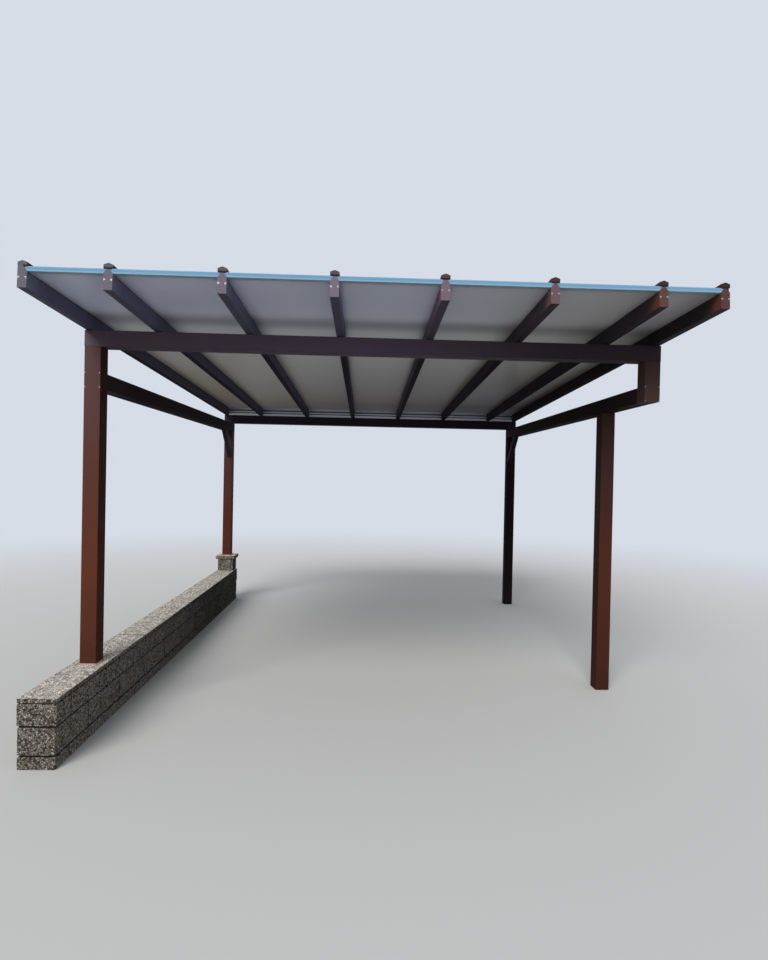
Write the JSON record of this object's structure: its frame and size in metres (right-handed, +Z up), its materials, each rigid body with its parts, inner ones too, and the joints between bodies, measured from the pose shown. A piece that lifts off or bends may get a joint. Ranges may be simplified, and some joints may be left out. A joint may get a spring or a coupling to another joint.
{
  "type": "carport",
  "caption": "Free-standing carport of square tubes with a clamped translucent sheet roof falling to the back, its left posts on a low masonry wall.",
  "frame": {"origin": "at ground level, in the middle of the carport's overall box", "axes": "+X across to the right as seen from the open front, +Y from the open front to the back, +Z up"},
  "size_m": [4.376, 5.1933, 3.1161],
  "materials": {
    "coated_frame": "satin red-brown powder coat",
    "roof_sheet": "translucent multiwall sheet, semi-gloss",
    "edge_trim": "pale blue translucent trim",
    "seal": "matte black",
    "bare_strip": "mill finish",
    "masonry": "exposed aggregate"
  },
  "bodies": {
    "root": {"post_front_left": "coated_frame", "post_front_right": "coated_frame", "post_back_left": "coated_frame", "post_back_right": "coated_frame", "stub_post": "coated_frame", "front_beam": "coated_frame", "back_beam": "coated_frame", "side_rail_left": "coated_frame", "side_rail_right": "coated_frame", "brace_left": "coated_frame", "brace_right": "coated_frame", "tube_end_caps": "coated_frame", "rafter_1": "coated_frame", "rafter_2": "coated_frame", "rafter_3": "coated_frame", "rafter_4": "coated_frame", "rafter_5": "coated_frame", "rafter_6": "coated_frame", "rafter_7": "coated_frame", "rafter_8": "coated_frame", "cover_bar_1": "coated_frame", "cover_bar_2": "coated_frame", "cover_bar_3": "coated_frame", "cover_bar_4": "coated_frame", "cover_bar_5": "coated_frame", "cover_bar_6": "coated_frame", "cover_bar_7": "coated_frame", "cover_bar_8": "coated_frame", "rafter_end_plates": "coated_frame", "cover_end_caps": "coated_frame", "roof_sheet_1": "roof_sheet", "roof_sheet_2": "roof_sheet", "roof_sheet_3": "roof_sheet", "roof_sheet_4": "roof_sheet", "roof_sheet_5": "roof_sheet", "roof_sheet_6": "roof_sheet", "roof_sheet_7": "roof_sheet", "sheet_edge_trims": "edge_trim", "lower_seals": "seal", "upper_seals": "seal", "rear_closing_strips": "bare_strip", "wall_lower_course": "masonry", "wall_upper_course": "masonry", "rear_pier": "masonry", "pier_cap": "masonry"}
  },
  "joints": []
}
